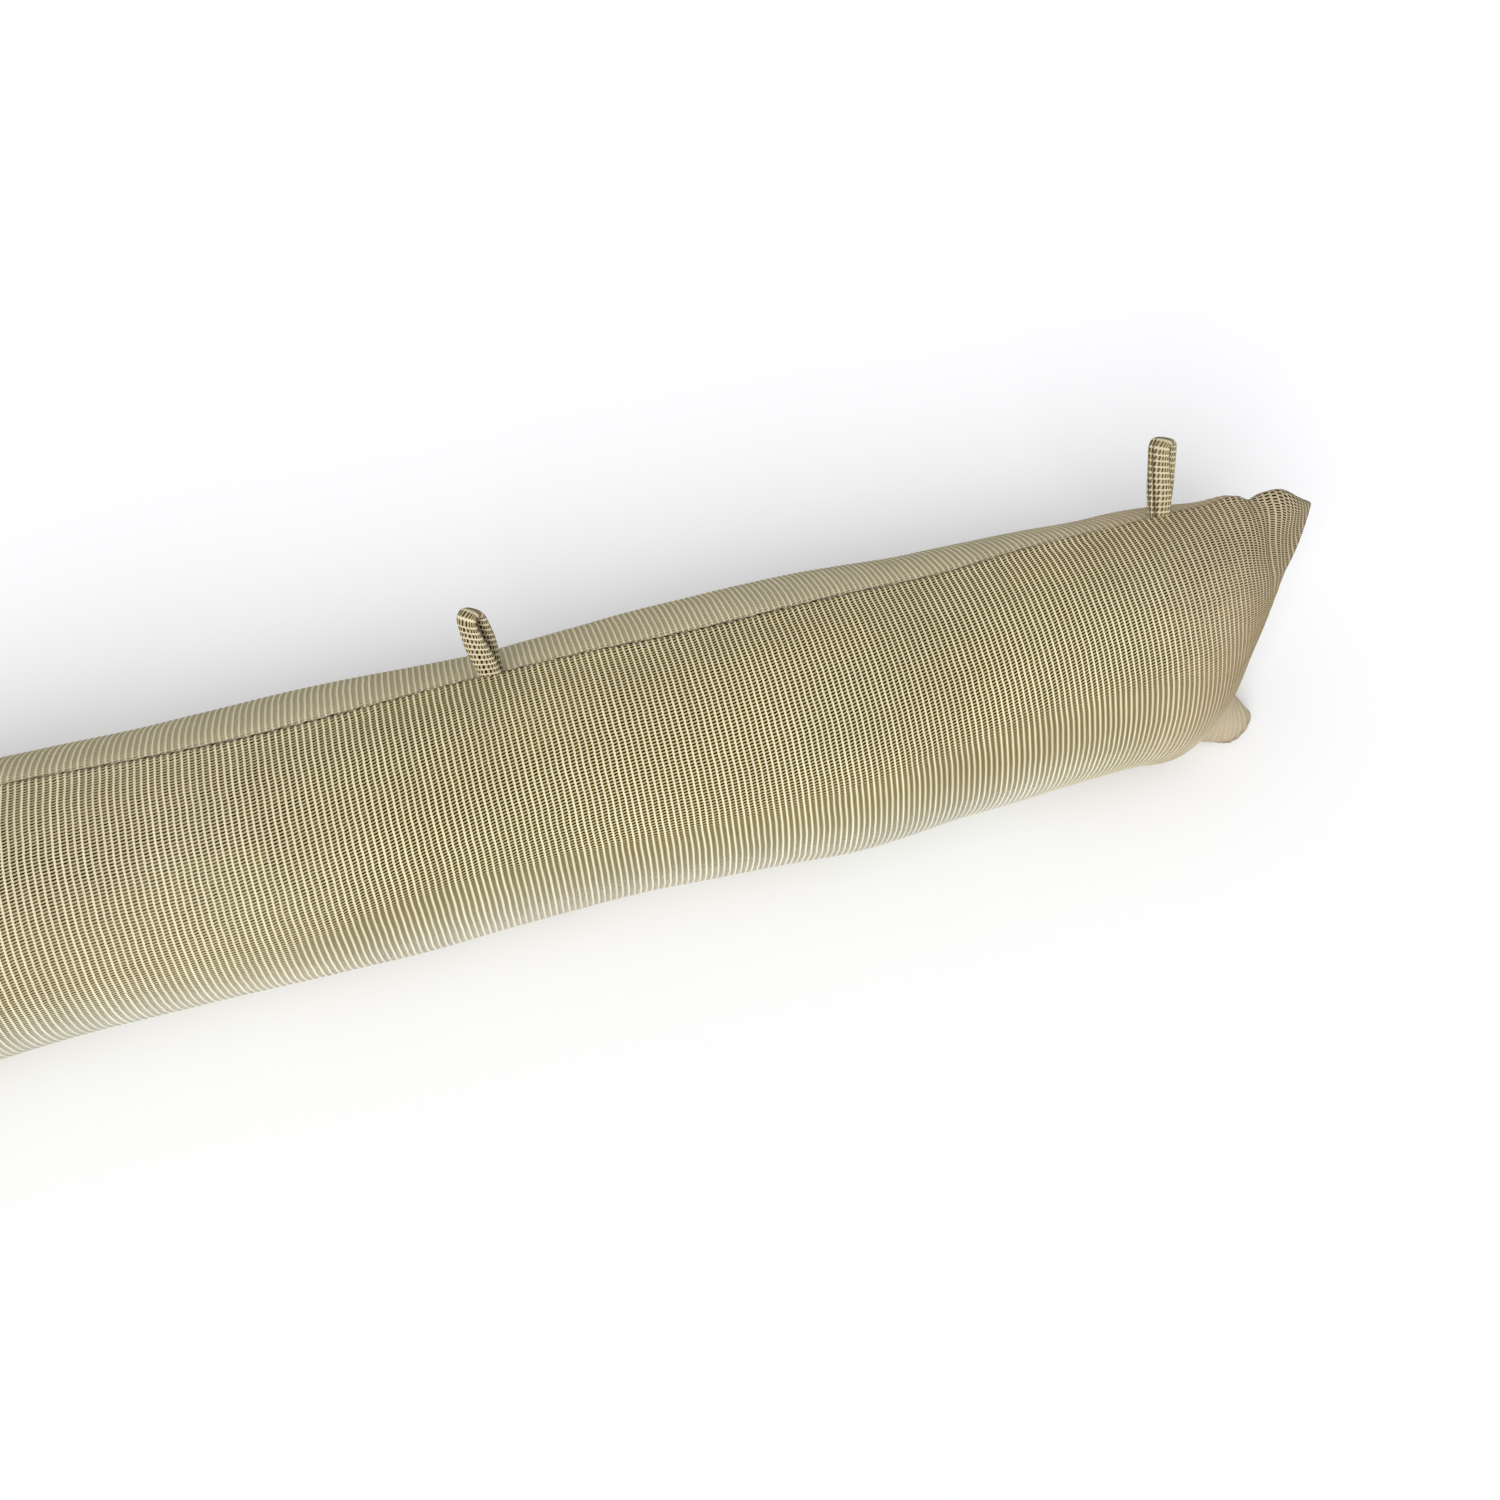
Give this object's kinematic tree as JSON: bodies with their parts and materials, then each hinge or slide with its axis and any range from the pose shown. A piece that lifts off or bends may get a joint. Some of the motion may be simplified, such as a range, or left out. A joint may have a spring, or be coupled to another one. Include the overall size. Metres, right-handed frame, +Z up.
{
  "type": "draught excluder",
  "caption": "Filled tube of ribbed two-tone cloth with flat-sewn ends and strap loops in its long seam, laid along the foot of a door to keep draughts out.",
  "frame": {"origin": "under the middle of the whole, on the surface that it lies on", "axes": "+X along the tube, +Y towards the side that the loops lean to, +Z up"},
  "size_m": [0.789, 0.1386, 0.1309],
  "materials": {
    "cloth": "cream warp ribs with dark brown rungs between them, matt",
    "strap": "the same ribbed cloth, cut as a strap with its ribs across, matt"
  },
  "bodies": {
    "root": {"cover": "cloth", "loop_left": "strap", "loop_middle": "strap", "loop_right": "strap"}
  },
  "joints": []
}
